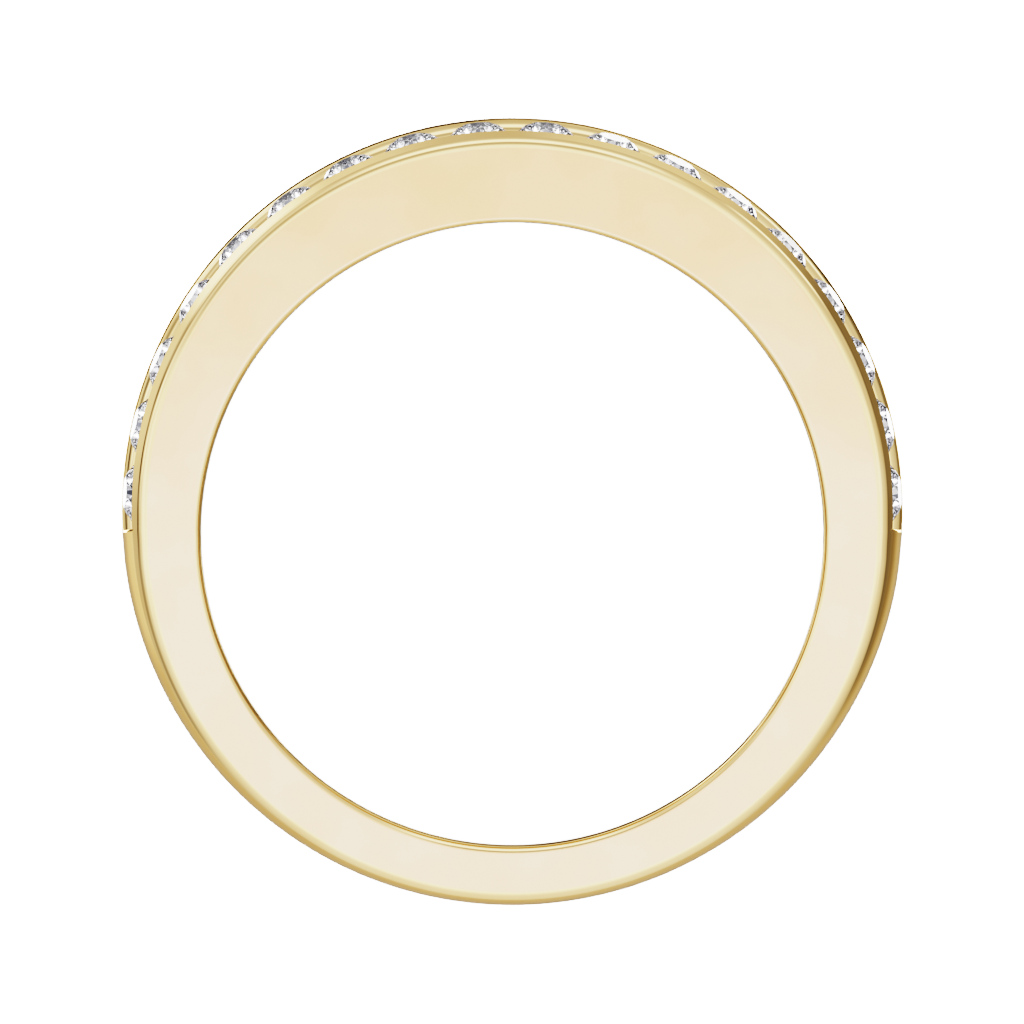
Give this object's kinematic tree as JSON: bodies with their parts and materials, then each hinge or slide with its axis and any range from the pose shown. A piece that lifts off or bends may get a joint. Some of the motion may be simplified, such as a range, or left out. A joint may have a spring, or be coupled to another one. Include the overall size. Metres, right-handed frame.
{
  "type": "band ring",
  "caption": "Band ring with a low domed front, channel-set round brilliant stones in rows over its upper half, soft shoulders and a plain base that narrows; worn on a finger.",
  "frame": {"origin": "centre of the outline in plan, on the side face that the ring lies on", "axes": "+Z along the finger axis, up from the side face it lies on; +Y from the plain base to the jewelled top; +X to the right as the picture shows it"},
  "size_m": [0.0216, 0.0218, 0.0046],
  "materials": {
    "gold": "polished yellow gold",
    "diamond": "clear faceted stone"
  },
  "bodies": {
    "root": {"band": "gold", "stone_front_01": "diamond", "stone_front_02": "diamond", "stone_front_03": "diamond", "stone_front_04": "diamond", "stone_front_05": "diamond", "stone_front_06": "diamond", "stone_front_07": "diamond", "stone_front_08": "diamond", "stone_front_09": "diamond", "stone_front_10": "diamond", "stone_front_11": "diamond", "stone_front_12": "diamond", "stone_front_13": "diamond", "stone_front_14": "diamond", "stone_front_15": "diamond", "stone_front_16": "diamond", "stone_front_17": "diamond", "stone_front_18": "diamond", "stone_back_01": "diamond", "stone_back_02": "diamond", "stone_back_03": "diamond", "stone_back_04": "diamond", "stone_back_05": "diamond", "stone_back_06": "diamond", "stone_back_07": "diamond", "stone_back_08": "diamond", "stone_back_09": "diamond", "stone_back_10": "diamond", "stone_back_11": "diamond", "stone_back_12": "diamond", "stone_back_13": "diamond", "stone_back_14": "diamond", "stone_back_15": "diamond", "stone_back_16": "diamond", "stone_back_17": "diamond", "stone_back_18": "diamond"}
  },
  "joints": []
}
